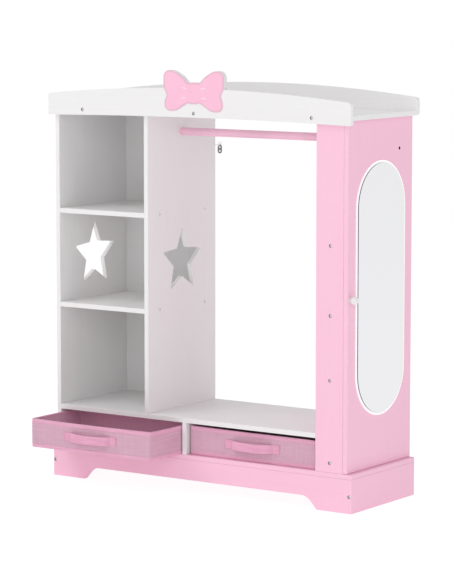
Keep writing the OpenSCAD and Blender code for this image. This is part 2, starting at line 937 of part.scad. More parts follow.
// One leaf of a butt hinge: side -1 is fixed to the stile, side 1 to the door
module hinge_leaf(z, side) {
  leaf_x = side < 0 ? rear_stile_out : door_in - leaf_t;
  knuckles = side < 0 ? [0, 2] : [1];
  color(steel)
    difference() {
      union() {
        translate([leaf_x, -leaf_w, z - hinge_h / 2]) cube([leaf_t, leaf_w, hinge_h]);
        for (i = knuckles)
          translate([0, 0, z - hinge_h / 2 + i * (knuckle_h + hinge_gap)]) {
            translate([leaf_x, -tiny, 0]) cube([leaf_t, hinge_y + tiny, knuckle_h]);
            translate([hinge_x, hinge_y, 0]) cylinder(r = knuckle_r, h = knuckle_h);
          }
      }
      translate([hinge_x, hinge_y, z - hinge_h]) cylinder(r = pin_r + pin_gap, h = 2 * hinge_h);
      if (side < 0) frame_leaf_screw_places() small_screw_hole();
      if (side > 0) door_leaf_screw_places() small_screw_hole();
    }
}

module upper_hinge_frame_leaf() hinge_leaf(upper_hinge_z, -1);

module lower_hinge_frame_leaf() hinge_leaf(lower_hinge_z, -1);

module upper_hinge_door_leaf() hinge_leaf(upper_hinge_z, 1);

module lower_hinge_door_leaf() hinge_leaf(lower_hinge_z, 1);

module hinge_pins() {
  color(steel)
    for (z = [upper_hinge_z, lower_hinge_z])
      translate([hinge_x, hinge_y, z - hinge_h / 2]) {
        cylinder(r = pin_r, h = hinge_h + tiny);
        translate([0, 0, hinge_h]) cylinder(r = knuckle_r * 0.9, h = pin_head_h);
      }
}

module cabinet_screws() {
  color(steel) {
    frame_leaf_screw_places() small_screw();
    catch_magnet_screw_places() small_screw(catch_screw_len);
  }
}

module door_screws() {
  color(steel) {
    door_leaf_screw_places() small_screw();
    catch_plate_screw_place() small_screw();
  }
}

module catch_magnet() {
  color("#F2F2F2")
    difference() {
      translate([catch_magnet_x, stile_back_y, catch_z - catch_h / 2])
        cube([catch_w, catch_d, catch_h]);
      catch_magnet_screw_places() small_screw_hole(catch_screw_len);
    }
}

module catch_plate() {
  color(steel)
    difference() {
      translate([catch_plate_x, catch_plate_y, catch_z - catch_h / 2]) cube([leaf_t, catch_d, catch_h]);
      catch_plate_screw_place() small_screw_hole();
    }
}

// ---------- fabric bins ----------

// Upright corners rounded by r, front edge at y = 0 and the middle at x = 0
module bin_plan(w, d, r) {
  polygon(rounded([[-w / 2, 0, r], [w / 2, 0, r], [w / 2, d, r], [-w / 2, d, r]]));
}

module bin_shell(x, front) {
  color(fabric_mauve)
    translate([x, front, bin_z])
      difference() {
        linear_extrude(bin_h) bin_plan(bin_w, bin_d, bin_corner_r);
        translate([0, bin_wall, bin_floor])
          linear_extrude(bin_h) bin_plan(bin_w - 2 * bin_wall, bin_d - 2 * bin_wall, bin_corner_r - bin_wall / 2);
      }
}

module bin_insert(x, front) {
  inset = bin_wall + insert_gap;
  color("#B08A9C")
    translate([x, front + inset, bin_z + bin_floor])
      linear_extrude(insert_t) bin_plan(bin_w - 2 * inset, bin_d - 2 * inset, bin_corner_r - bin_wall / 2);
}

// Share of the bow at t, from 0 at a tab to 1 in the strap's middle and 0 at the other tab
function bow_share(t) = pow(sin(180 * t), 0.5);

strap_steps = 20;

module bin_handle(x, front) {
  free_w = handle_w - 2 * strap_tab;
  outer = [
    for (i = [0:strap_steps])
      let (t = i / strap_steps) [free_w * (t - 0.5), -strap_t - strap_bow * bow_share(t)]
  ];
  inner = [for (i = [strap_steps:-1:0]) outer[i] + [0, strap_t]];
  color(webbing_pink)
    translate([x, front, bin_z + strap_rise - strap_h / 2])
      linear_extrude(strap_h) {
        for (side = [-1, 1])
          translate([side * (handle_w - strap_tab) / 2, -strap_t / 2])
            square([strap_tab + tiny, strap_t], center = true);
        polygon(concat(outer, inner));
      }
}

left_front_y = closed_front_y - left_bin_pull;

module left_bin() bin_shell(left_bin_x, left_front_y);

module right_bin() bin_shell(right_bin_x, closed_front_y);

module left_bin_insert() bin_insert(left_bin_x, left_front_y);

module right_bin_insert() bin_insert(right_bin_x, closed_front_y);

module left_bin_handle() bin_handle(left_bin_x, left_front_y);

module right_bin_handle() bin_handle(right_bin_x, closed_front_y);

// ---------- screws and dowels ----------

module crown_screws() {
  color(steel) crown_screw_places() wood_screw();
}

module top_screws() {
  color(steel) top_screw_places() wood_screw();
}

module base_screws() {
  color(steel) base_screw_places() wood_screw();
}

module side_screws() {
  color(steel) side_screw_places() wood_screw();
}

module divider_screws() {
  color(steel) divider_screw_places() wood_screw();
}

module floor_screws() {
  color(steel) floor_screw_places() wood_screw();
}

module stile_screws() {
  color(steel) stile_screw_places() wood_screw();
}

module plinth_screws() {
  color(steel) plinth_screw_places() wood_screw();
}

module plinth_dowels() {
  color("#D9BE8C") plinth_dowel_places() dowel();
}

module rod_screws() {
  color(steel) rod_screw_places() wood_screw();
}

// ---------- restraint ----------

// Shank of the eye screw, from its tip in the divider's back edge to the ring's wire
module eye_shank(grow = 0) {
  translate([eye_x, -eye_shank_in, eye_z])
    rotate([-90, 0, 0]) cylinder(r = eye_wire_r + grow, h = eye_shank_in + eye_reach - eye_ring_r);
}

module tether_eye() {
  color(steel) {
    eye_shank();
    translate([eye_x, eye_reach, eye_z])
      rotate([0, 90, 0]) rotate_extrude() translate([eye_ring_r, 0]) circle(r = eye_wire_r, $fn = 24);
  }
}

module tether_link() {
  color(steel)
    translate([eye_x, 0, 0])
      upright_plate(eye_reach - link_t / 2, link_t)
        translate([0, link_hole_z - link_pitch / 2])
          difference() {
            stadium(link_w, link_pitch + link_w);
            for (up = [-1, 1]) translate([0, up * link_pitch / 2]) circle(r = link_hole_r);
          }
}

// ---------- every node ----------

plinth_front();
plinth_back();
plinth_left();
plinth_right();
base_board();
left_side_panel();
divider_panel();
left_bay_back();
upper_shelf();
lower_shelf();
floor_panel();
drawer_divider();
drawer_bay_back();
top_panel();
crown_front();
bow_face();
crown_back();
hanging_rod();
cabinet_inner_panel();
front_stile();
rear_stile();
cabinet_shelf_bottom();
cabinet_shelf_low();
cabinet_shelf_middle();
cabinet_shelf_upper();
mirror_door();
mirror_surround();
mirror_glass();
door_knob();
knob_screw();
door_face_screw();
upper_hinge_frame_leaf();
lower_hinge_frame_leaf();
upper_hinge_door_leaf();
lower_hinge_door_leaf();
hinge_pins();
cabinet_screws();
door_screws();
catch_magnet();
catch_plate();
left_bin();
right_bin();
left_bin_insert();
right_bin_insert();
left_bin_handle();
right_bin_handle();
crown_screws();
top_screws();
base_screws();
side_screws();
divider_screws();
floor_screws();
stile_screws();
plinth_screws();
plinth_dowels();
rod_screws();
tether_eye();
tether_link();
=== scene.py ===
import math

import bmesh
import bpy
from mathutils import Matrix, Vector, noise


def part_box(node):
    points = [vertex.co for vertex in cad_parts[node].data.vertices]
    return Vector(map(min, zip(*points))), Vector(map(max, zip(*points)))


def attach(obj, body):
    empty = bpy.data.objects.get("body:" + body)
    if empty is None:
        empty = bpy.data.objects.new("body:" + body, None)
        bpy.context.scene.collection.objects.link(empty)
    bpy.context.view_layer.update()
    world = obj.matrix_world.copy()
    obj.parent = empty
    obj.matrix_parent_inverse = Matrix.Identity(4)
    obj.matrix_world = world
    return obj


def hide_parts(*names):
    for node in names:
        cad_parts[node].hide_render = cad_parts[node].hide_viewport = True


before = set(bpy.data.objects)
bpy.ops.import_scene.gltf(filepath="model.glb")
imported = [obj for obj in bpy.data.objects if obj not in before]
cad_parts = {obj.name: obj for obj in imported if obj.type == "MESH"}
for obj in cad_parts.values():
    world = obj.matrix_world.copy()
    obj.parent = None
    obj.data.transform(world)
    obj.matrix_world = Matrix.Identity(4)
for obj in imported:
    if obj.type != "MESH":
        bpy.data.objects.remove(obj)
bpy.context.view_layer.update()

MM = 0.001

# ---------- colours, written as they look ----------

WHITE_PAINT = "#EDECEC"
WHITE_GRAIN = "#E3E1E0"
WHITE_WORN_AND_LIT = "#F3F2F1"
PINK_PAINT = "#F8C6DB"
PINK_GRAIN = "#F1BAD1"
PINK_WORN_AND_LIT = "#FBD0E2"
ROD_PINK = "#F9C6DB"
BOW_PINK = "#F8C0D8"
BOW_SHADE = "#F4B6D0"
# Painted shade on the bow's rim and sides.
BOW_RIM_SHADE = "#E3BACB"
BOW_STROKE = "#FFDFEA"
KNOB_WHITE = "#EBE6E7"
SURROUND_WHITE = "#FFFFFF"
MIRROR_SILVER = "#E9E9EB"
MIRROR_RIM = "#26292B"
ZINC = "#C9CBCD"
PALE_ZINC = "#FAF7F8"
LINK_STEEL = "#A2A5A9"
DARK_HEAD = "#120409"
CATCH_WHITE = "#F0F0F0"
BEECH_LIGHT = "#DDC294"
BEECH_DARK = "#C4A06C"
FABRIC_WARP = "#E3B8CA"
FABRIC_WEFT = "#D4A7BD"
FABRIC_SLUB = "#ECBFD1"
LINING_WARP = "#E6BBCE"
LINING_WEFT = "#DCADC2"
TAPE_LIGHT = "#EEB5CF"
TAPE_DARK = "#DFA0BD"
STRAP_LIGHT = "#F0B5CF"
STRAP_DARK = "#DD96B8"
THREAD_PINK = "#F7C6DB"
FLOOR_PALE = "#F3F3F3"


def linear(colour):
    """A written colour as the three linear shares that a shader takes."""
    shares = [int(colour[i:i + 2], 16) / 255 for i in (1, 3, 5)]
    return tuple(c / 12.92 if c <= 0.04045 else ((c + 0.055) / 1.055) ** 2.4 for c in shares)


def shaded(colour, share):
    """A linear colour at a share of its brightness."""
    return tuple(c * share for c in colour)


# ---------- materials ----------

class Signal:
    """A number, colour or vector inside one finish. Arithmetic on it adds Math nodes."""

    def __init__(self, finish, node, output):
        self.finish = finish
        self.node = node
        self.socket = node.outputs[output]

    def other(self, output):
        return Signal(self.finish, self.node, output)

    def math(self, operation, *values):
        return self.finish.node("ShaderNodeMath", {"operation": operation}, dict(enumerate(values)))

    def __add__(self, value):
        return self.math("ADD", self, value)

    def __radd__(self, value):
        return self.math("ADD", value, self)

    def __sub__(self, value):
        return self.math("SUBTRACT", self, value)

    def __rsub__(self, value):
        return self.math("SUBTRACT", value, self)

    def __mul__(self, value):
        return self.math("MULTIPLY", self, value)

    def size(self):
        return self.math("ABSOLUTE", self)

    def sine(self):
        return self.math("SINE", self)

    def root(self):
        return self.math("SQRT", self)

    def least(self, value):
        return self.math("MINIMUM", self, value)

    def most(self, value):
        return self.math("MAXIMUM", self, value)

    def fade(self, low, high):
        """0 below low, 1 above high, and a soft step between them."""
        sockets = {"Value": self, "From Min": low, "From Max": high}
        return self.finish.node("ShaderNodeMapRange", {"interpolation_type": "SMOOTHSTEP"}, sockets)

    def axes(self):
        parts = self.finish.node("ShaderNodeSeparateXYZ", {}, {"Vector": self})
        return [parts.other(letter) for letter in "XYZ"]


class NodeTree:
    """The nodes of a material or of the world."""

    def __init__(self, tree):
        self.tree = tree

    def put(self, socket, value):
        if isinstance(value, Signal):
            self.tree.links.new(value.socket, socket)
        elif socket.type == "RGBA":
            socket.default_value = (*value, 1)
        else:
            socket.default_value = value

    def node(self, kind, settings, sockets, output=0):
        """Adds a node: its settings first, then the values or links of its sockets."""
        made = self.tree.nodes.new(kind)
        for name, value in settings.items():
            setattr(made, name, value)
        for name, value in sockets.items():
            self.put(made.inputs[name], value)
        return Signal(self, made, output)


class Finish(NodeTree):
    """One material: its shader, and the nodes that vary it over the surface."""

    def __init__(self, name, **fixed):
        self.material = bpy.data.materials.new(name)
        self.material.use_nodes = True
        super().__init__(self.material.node_tree)
        self.shader = self.tree.nodes["Principled BSDF"]
        self.place = self.node("ShaderNodeTexCoord", {}, {}, "Object")
        self.feed(**fixed)

    def feed(self, **values):
        """Sets or links the shader's sockets, which are named in small letters with underscores."""
        for name, value in values.items():
            self.put(self.shader.inputs[name.replace("_", " ").title().replace("Ior", "IOR")], value)
        return self

    def mix(self, share, first, second):
        """The first colour where share is 0, and the second where it is 1."""
        sockets = {0: share, 6: first, 7: second}
        return self.node("ShaderNodeMix", {"data_type": "RGBA"}, sockets, 2)

    def noise(self, scales, detail=2.0, roughness=0.5):
        """Noise from 0 to 1. scales are its blots in a metre: one number, or one for each axis."""
        if not isinstance(scales, (list, tuple)):
            scales = (scales, scales, scales)
        vector = self.node("ShaderNodeVectorMath", {"operation": "MULTIPLY"}, {0: self.place, 1: scales})
        sockets = {"Vector": vector, "Scale": 1.0, "Detail": detail, "Roughness": roughness}
        return self.node("ShaderNodeTexNoise", {}, sockets)

    def emboss(self, height, depth):
        """Turns a height from 0 to 1 into a normal, for a relief of that depth in metres."""
        sockets = {"Height": height, "Strength": 1.0, "Distance": depth}
        self.feed(normal=self.node("ShaderNodeBump", {}, sockets))
        return self


GRAIN_ALONG = 5
GRAIN_ACROSS = 190
# How far grain and clouds take the paint to its grain colour, and how far the edges take it to their paler
# colour, which is partly wear and partly a painted highlight.
GRAIN_SHARE = 0.17
CLOUD_SHARE = 0.2
WEAR_AND_HIGHLIGHT_SHARE = 0.7
EDGE_WEAR_AND_HIGHLIGHT = 0.9 * MM
SEAM_HALF = 1.1 * MM
# The paint's brightness in the painted shade of a joint line and of a screw hole.
SEAM_SHADE = 0.6
HOLE_SHADE = 0.22
HOLE_SOFTNESS = 0.1 * MM
HOLE_PLAY = 0.06 * MM


def edge_nearness(finish, node):
    """1 on the eased edges of a board, where wear and a painted highlight go, and 0 on its faces,
    from its own corners.
    """
    low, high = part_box(node)
    reach = [(at - low[i]).least(high[i] - at) for i, at in enumerate(finish.place.axes())]
    second = reach[0].least(reach[1]).most(reach[0].most(reach[1]).least(reach[2]))
    return 1 - second.fade(EDGE_WEAR_AND_HIGHLIGHT * 0.8, EDGE_WEAR_AND_HIGHLIGHT * 1.8)


def painted_seam_shade(finish, heights):
    """1 on the joint lines at these heights, where one board stands on another and shade is painted, and 0 on
    level faces.
    """
    up = finish.place.axes()[2]
    level = finish.node("ShaderNodeTexCoord", {}, {}, "Normal").axes()[2].size()
    nearest = (up - heights[0]).size()
    for height in heights[1:]:
        nearest = nearest.least((up - height).size())
    return (1 - nearest.fade(SEAM_HALF * 0.3, SEAM_HALF)) * (1 - level.fade(0.5, 0.8))


def painted_hole_shade(finish, holes):
    """1 inside the screw holes of a board, where shade is painted, and 0 on its faces."""
    axes = finish.place.axes()
    inside = 0.0
    for centre, across, radius in holes:
        first, second = [axes[i] - centre[i] for i in across]
        away = (first * first + second * second).root()
        inside = (1 - away.fade(radius, radius + HOLE_SOFTNESS)).most(inside)
    return inside


def painted_board(node, name, paint, grained, worn_and_lit, along, heights=(), holes=()):
    """Sprayed board: faint wood grain along one axis, orange peel, and eased edges a little paler, partly
    from wear and partly a painted highlight.

    heights are those of the joint lines on it, and holes are its screw holes. Both get painted shade."""
    finish = Finish(f"{name}_on_{node}", specular_ior_level=0.35)
    scales = [GRAIN_ACROSS] * 3
    scales[along] = GRAIN_ALONG
    grain = finish.noise(scales, 5, 0.62)
    pores = finish.noise([s * 3.2 for s in scales], 2)
    peel = finish.noise(420, 1)
    cloud = finish.noise(5, 2)
    streak = grain.fade(0.42, 0.7)
    colour = finish.mix(streak * GRAIN_SHARE + cloud * CLOUD_SHARE, paint, grained)
    # The edges are paler in patches: partly worn paint, partly a painted highlight.
    wear_and_highlight = edge_nearness(finish, node) * finish.noise(60, 3).fade(0.35, 0.7)
    colour = finish.mix(wear_and_highlight * WEAR_AND_HIGHLIGHT_SHARE, colour, worn_and_lit)
    if heights:
        # Painted shade along the joint lines.
        colour = finish.mix(painted_seam_shade(finish, heights), colour, shaded(paint, SEAM_SHADE))
    if holes:
        # Painted shade in the screw holes.
        colour = finish.mix(painted_hole_shade(finish, holes), colour, shaded(paint, HOLE_SHADE))
    finish.feed(base_color=colour, roughness=0.46 + streak * 0.06 + cloud * 0.08 - wear_and_highlight * 0.12)
    return finish.emboss(grain * 0.5 + pores * 0.3 + peel * 0.2, 0.12 * MM)


def lacquer(name, colour, roughness, shade=0.05):
    """Smooth glossy coat with a trace of orange peel. A higher shade makes its clouds darker."""
    finish = Finish(name, specular_ior_level=0.5)
    cloud = finish.noise(22, 2)
    peel = finish.noise(900, 1)
    deeper = shaded(linear(colour), 1 - shade * 1.6)
    finish.feed(base_color=finish.mix(cloud.fade(0.3, 0.75), linear(colour), deeper))
    finish.feed(roughness=roughness + cloud * 0.08)
    return finish.emboss(peel, 0.06 * MM)


# How far behind the bow's front the floor of its stepped rim and that of its pressed pleats lie.
BOW_RIM_DEPTH = 0.3 * MM
PLEAT_DEPTH = 0.6 * MM


def bow_paint(front_y):
    """Pink spray on the bow: its stepped rim and sides are greyer with painted shade, and the pressed pleats
    are pale.
    """
    finish = lacquer("bow_pink", BOW_PINK, 0.42)
    depth = finish.place.axes()[1] - front_y
    rim = depth.fade(BOW_RIM_DEPTH * 0.4, BOW_RIM_DEPTH * 0.8)
    past_pleat = depth.fade(PLEAT_DEPTH * 1.1, PLEAT_DEPTH * 1.3)
    pleat = depth.fade(PLEAT_DEPTH * 0.65, PLEAT_DEPTH * 0.9) - past_pleat
    cloud = finish.noise(30, 2)
    face = finish.mix(cloud.fade(0.3, 0.8) * 0.5, linear(BOW_PINK), linear(BOW_SHADE))
    # Painted shade on the stepped rim and the sides.
    rim_shaded = finish.mix(rim, face, linear(BOW_RIM_SHADE))
    return finish.feed(base_color=finish.mix(pleat, rim_shaded, linear(BOW_STROKE)))


def mirror_plate():
    """Silvered glass: the face mirrors, with faint smudges, and the cut rim is dark."""
    finish = Finish("mirror_silver", specular_ior_level=0.5)
    facing = finish.node("ShaderNodeTexCoord", {}, {}, "Normal").axes()[0].size()
    face = facing.fade(0.5, 0.7)
    smudge = finish.noise(9, 4).fade(0.5, 0.8)
    finish.feed(base_color=finish.mix(face, linear(MIRROR_RIM), linear(MIRROR_SILVER)), metallic=face)
    return finish.feed(roughness=0.3 - face * 0.27 + smudge * 0.035)


SPANGLE_SHADE = 0.78
PLASTIC_SHADE = 0.93


def plated_steel(name, colour, roughness=0.34, metallic=0.9):
    """Plated steel: a fine cloudy spangle, and a dull patch here and there."""
    finish = Finish(name, metallic=metallic)
    spangle = finish.noise(500, 2)
    dull = finish.noise(90, 3)
    darker = shaded(linear(colour), SPANGLE_SHADE)
    finish.feed(base_color=finish.mix(spangle.fade(0.35, 0.7), linear(colour), darker))
    finish.feed(roughness=roughness + dull * 0.2)
    return finish.emboss(spangle, 0.04 * MM)


def moulded_plastic(name, colour, shine=0.45):
    """Plastic, white or near black: finely pitted, with a soft change of tone."""
    finish = Finish(name, specular_ior_level=shine)
    pitted = finish.noise(1100, 2)
    cloud = finish.noise(60, 2)
    darker = shaded(linear(colour), PLASTIC_SHADE)
    finish.feed(base_color=finish.mix(cloud, linear(colour), darker), roughness=0.5 + pitted * 0.15)
    return finish.emboss(pitted, 0.08 * MM)


def beech_dowel():
    """Bare beech: growth rings along the dowel, with short dark flecks."""
    finish = Finish("beech", specular_ior_level=0.3)
    rings = finish.noise((600, 600, 30), 4)
    fleck = finish.noise((1500, 1500, 120), 1).fade(0.6, 0.75)
    share = rings.fade(0.3, 0.7) * 0.8 + fleck * 0.2
    finish.feed(base_color=finish.mix(share, linear(BEECH_LIGHT), linear(BEECH_DARK)))
    finish.feed(roughness=0.6 + rings * 0.1)
    return finish.emboss(rings, 0.1 * MM)


THREADS_PER_M = 1100
RIBS_PER_M = 820
CORDS_PER_M = 520


def woven_cloth(name, warp, weft, slub, slub_share, depth):
    """Plain weave of slubby threads that runs level round a bin and straight up its walls."""
    finish = Finish(name, specular_ior_level=0.2, sheen_weight=0.12, sheen_roughness=0.5)
    x, y, z = finish.place.axes()
    turn = math.tau * THREADS_PER_M
    over = ((x + y) * turn).sine()
    under = (z * turn).sine()
    weave = over * under * 0.5 + 0.5
    level = finish.noise((14, 14, 620), 3, 0.6)
    upright = finish.noise((560, 560, 16), 3, 0.6)
    crossing = upright.fade(0.36, 0.66) * 0.5 + level.fade(0.34, 0.5) * 0.3
    threads = finish.mix(crossing, linear(weft), linear(warp))
    thick = level.fade(0.48, 0.66) * slub_share + upright.fade(0.58, 0.74) * slub_share * 0.35
    faded = finish.noise(7, 2).fade(0.35, 0.8) * 0.22
    cloth = finish.mix(thick, threads, linear(slub))
    finish.feed(base_color=finish.mix(faded + weave * 0.12, cloth, linear(weft)))
    finish.feed(roughness=0.82 + level * 0.1)
    return finish.emboss(weave * 0.55 + level * 0.3 + upright * 0.15, depth)


def woven_strap(name, light, dark):
    """Webbing or tape: fine ribs across it, cords along it and a little fuzz."""
    finish = Finish(name, specular_ior_level=0.25, sheen_weight=0.15, sheen_roughness=0.45)
    x, y, z = finish.place.axes()
    ribs = ((x + y) * (math.tau * RIBS_PER_M)).sine() * 0.5 + 0.5
    cords = (z * (math.tau * CORDS_PER_M)).sine() * 0.5 + 0.5
    fuzz = finish.noise(300, 3)
    streak = finish.noise((22, 22, 480), 3).fade(0.4, 0.7)
    finish.feed(base_color=finish.mix(streak * 0.5 + ribs * 0.15 + fuzz * 0.15, linear(light), linear(dark)))
    finish.feed(roughness=0.72 + fuzz * 0.15)
    return finish.emboss(ribs * 0.5 + cords * 0.35 + fuzz * 0.15, 0.4 * MM)


def sewing_thread():
    """Twisted thread, with its plies a little darker in between."""
    finish = Finish("sewing_thread", specular_ior_level=0.35, sheen_weight=0.1)
    ply = finish.noise(900, 2)
    finish.feed(base_color=finish.mix(ply * 0.6, linear(THREAD_PINK), linear(STRAP_DARK)))
    finish.feed(roughness=0.6 + ply * 0.1)
    return finish.emboss(ply, 0.2 * MM)


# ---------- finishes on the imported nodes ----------

ALONG_X, ALONG_Y, ALONG_Z = range(3)
WHITE_BOARDS = {
    ALONG_X: ["left_bay_back", "upper_shelf", "lower_shelf", "floor_panel", "top_panel", "crown_front",
              "crown_back", "drawer_bay_back"],
    ALONG_Y: ["drawer_divider"],
    ALONG_Z: ["left_side_panel", "divider_panel"],
}
PINK_BOARDS = {
    ALONG_X: ["plinth_front", "plinth_back", "base_board", "cabinet_shelf_bottom", "cabinet_shelf_low",
              "cabinet_shelf_middle", "cabinet_shelf_upper"],
    ALONG_Y: ["plinth_left", "plinth_right"],
    ALONG_Z: ["cabinet_inner_panel", "front_stile", "rear_stile", "mirror_door"],
}
PLATED_NODES = ["upper_hinge_frame_leaf", "lower_hinge_frame_leaf", "upper_hinge_door_leaf",
                "lower_hinge_door_leaf", "hinge_pins", "cabinet_screws", "door_screws", "knob_screw",
                "catch_plate"]
# The light that the mirror's surround gives off, which makes it the whitest white.
SURROUND_LIFT = 0.16
JOINTED_NODES = ["plinth_front", "plinth_back", "plinth_left", "plinth_right", "base_board", "front_stile",
                 "rear_stile"]
# Nodes of sunk screws, and the boards with painted shade in the holes over their heads.
SCREWS_IN = {
    "crown_screws": ["crown_front", "crown_back"],
    "stile_screws": ["front_stile"],
    "plinth_screws": ["plinth_front", "plinth_back"],
    "side_screws": ["left_side_panel"],
    "base_screws": ["base_board"],
}
PALE_NODES = [*SCREWS_IN, "divider_screws", "floor_screws", "rod_screws", "top_screws", "tether_eye"]


def screw_boxes(node):
    """The corners of each loose screw in a node of screws."""
    shaped = bmesh.new()
    shaped.from_mesh(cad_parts[node].data)
    bmesh.ops.remove_doubles(shaped, verts=shaped.verts, dist=0.001 * MM)
    waiting = set(shaped.verts)
    boxes = []
    while waiting:
        found = [waiting.pop()]
        for vert in found:
            linked = {edge.other_vert(vert) for edge in vert.link_edges} & waiting
            waiting -= linked
            found += sorted(linked, key=lambda v: v.index)
        low = Vector([min(v.co[i] for v in found) for i in range(3)])
        high = Vector([max(v.co[i] for v in found) for i in range(3)])
        boxes.append((low, high))
    shaped.free()
    return boxes


def holes_in(board):
    """Each screw hole in a board that gets painted shade: its middle, the two axes across it, and its radius.
    """
    low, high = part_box(board)
    holes = []
    for screws in [node for node, boards in SCREWS_IN.items() if board in boards]:
        for start, end in screw_boxes(screws):
            if all(start[i] < high[i] and end[i] > low[i] for i in range(3)):
                spans = [end[i] - start[i] for i in range(3)]
                along = spans.index(max(spans))
                across = [i for i in range(3) if i != along]
                holes.append(((start + end) / 2, across, spans[across[0]] / 2 + HOLE_PLAY))
    return sorted(holes, key=lambda hole: tuple(hole[0]))


def dress(node, finish):
    """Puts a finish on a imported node."""
    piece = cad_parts[node]
    piece.data.materials.clear()
    piece.data.materials.append(finish.material)


def dress_boards(boards, name, *colours):
    """Paints boards. The colours are the paint, its grain, and its edges, which are paler from wear and from
    a painted highlight.
    """
    paint, grained, worn_and_lit = map(linear, colours)
    base_low, base_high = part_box("base_board")
    for along, nodes in boards.items():
        for node in nodes:
            heights = (base_low.z, base_high.z) if node in JOINTED_NODES else ()
            dress(node, painted_board(node, name, paint, grained, worn_and_lit, along, heights, holes_in(node)))


def dress_packed_nodes():
    dress_boards(WHITE_BOARDS, "white", WHITE_PAINT, WHITE_GRAIN, WHITE_WORN_AND_LIT)
    dress_boards(PINK_BOARDS, "pink", PINK_PAINT, PINK_GRAIN, PINK_WORN_AND_LIT)
    dress("bow_face", bow_paint(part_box("bow_face")[0].y))
    dress("hanging_rod", lacquer("rod_enamel", ROD_PINK, 0.3))
    surround = lacquer("surround_white", SURROUND_WHITE, 0.35, 0.02)
    surround.feed(emission_color=linear(SURROUND_WHITE), emission_strength=SURROUND_LIFT)
    dress("mirror_surround", surround)
    dress("mirror_glass", mirror_plate())
    dress("door_knob", lacquer("knob_lacquer", KNOB_WHITE, 0.22, 0.03))
    # The door's face screw gets a near-black head.
    dress("door_face_screw", moulded_plastic("near_black_head", DARK_HEAD, 0.08))
    dress("catch_magnet", moulded_plastic("catch_plastic", CATCH_WHITE))
    dress("plinth_dowels", beech_dowel())
    zinc = plated_steel("zinc_plate", ZINC)
    for node in PLATED_NODES:
        dress(node, zinc)
    pale = plated_steel("pale_zinc_plate", PALE_ZINC, 0.45, 0.25)
    for node in PALE_NODES:
        dress(node, pale)
    dress("tether_link", plated_steel("link_plate", LINK_STEEL))


# ---------- fabric bins ----------

BIN_CORNER = 6 * MM
BIN_WALL = 3.5 * MM
BIN_FLOOR = 2 * MM
WALL_STEP = 6 * MM
CORNER_STEPS = 6
OUTSIDE_STEPS = 10
INSIDE_STEPS = 8
WALL_CROWN = 0.9 * MM
RIM_SAG = 1.2 * MM
# How far the rim comes down at a bin's right end.
RIM_DROOP = {"left": 0.0, "right": 1.8 * MM}
RIPPLE = 0.35 * MM
RIPPLES_PER_M = 32
BINDING_DROP = 10 * MM
INNER_DROP = 4 * MM
BOTTOM_BAND = 9 * MM
CORD_R = 0.9 * MM
CORD_SIDES = 8
CORD_STEPS = 12
STITCH_PITCH = 4.2 * MM
STITCH_LENGTH = 2.9 * MM
THREAD_R = 0.36 * MM


class Station:
    """A place on a bin's plan: where it is, which way is out, and its share of the way along its wall."""

    def __init__(self, at, out, share):
        self.at = Vector(at)
        self.out = Vector(out)
        self.share = share


def rectangle_plan(width, depth, radius):
    """Stations round a rectangle with round corners. Its front edge is at y 0 and its middle at x 0."""
    corners = [(width / 2, 0, -90), (width / 2, depth, 0), (-width / 2, depth, 90), (-width / 2, 0, 180)]
    spans = [width, depth, width, depth]
    plan = []
    for (x, y, turn), span in zip(corners, spans):
        along = Vector((math.cos(math.radians(turn + 90)), math.sin(math.radians(turn + 90))))
        out = Vector((math.cos(math.radians(turn)), math.sin(math.radians(turn))))
        corner = Vector((x, y))
        length = span - 2 * radius
        steps = round(length / WALL_STEP)
        for i in range(steps):
            plan.append(Station(corner - along * (span - radius - length * i / steps), out, i / steps))
        centre = corner - along * radius - out * radius
        for i in range(CORNER_STEPS):
            angle = math.radians(turn + 90 * i / CORNER_STEPS)
            normal = Vector((math.cos(angle), math.sin(angle)))
            plan.append(Station(centre + normal * radius, normal, 0.0))
    return plan


class Bin:
    """One bin: its plan, its height, and the soft shape that all of its pieces follow."""

    def __init__(self, side):
        self.side = side
        self.body = f"{side}_bin_body"
        low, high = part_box(f"{side}_bin")
        self.low = low
        self.height = high.z - low.z
        self.width = high.x - low.x
        self.depth = high.y - low.y
        self.middle = (low.x + high.x) / 2
        self.plan = rectangle_plan(self.width, self.depth, BIN_CORNER)

    def point(self, station, outward, z):
        """A point outward of the wall at height z, after the cloth has crowned, rippled and sagged.

        The left wall doesn't sag."""
        swell = math.sin(math.pi * station.share)
        lift = z / self.height
        spot = Vector((self.middle + station.at.x, self.low.y + station.at.y, self.low.z + z))
        crown = WALL_CROWN * swell * math.sin(math.pi * min(1, max(0, lift)))
        ripple = RIPPLE * noise.noise(spot * RIPPLES_PER_M) * swell
        out = outward + crown + ripple
        sag = RIM_SAG * swell * (station.out.x > -0.9)
        droop = RIM_DROOP[self.side] * max(0, station.at.x / self.width * 2) ** 2
        return spot + Vector((station.out.x * out, station.out.y * out, -(sag + droop) * lift ** 2))


def make_mesh(name, points, faces, finishes, body, replaced=(), second_finish=()):
    """A new piece of the object, from its points and faces, that rides on its body.

    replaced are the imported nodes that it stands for, and second_finish its faces in the second finish."""
    mesh = bpy.data.meshes.new(name)
    mesh.from_pydata([tuple(p) for p in points], [], faces)
    for finish in finishes:
        mesh.materials.append(finish.material)
    for i in second_finish:
        mesh.polygons[i].material_index = 1
    shaped = bmesh.new()
    shaped.from_mesh(mesh)
    bmesh.ops.recalc_face_normals(shaped, faces=shaped.faces)
    shaped.to_mesh(mesh)
    shaped.free()
    for face in mesh.polygons:
        face.use_smooth = True
    piece = bpy.data.objects.new(name, mesh)
    bpy.context.scene.collection.objects.link(piece)
    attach(piece, body)
    if replaced:
        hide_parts(*replaced)
    return piece


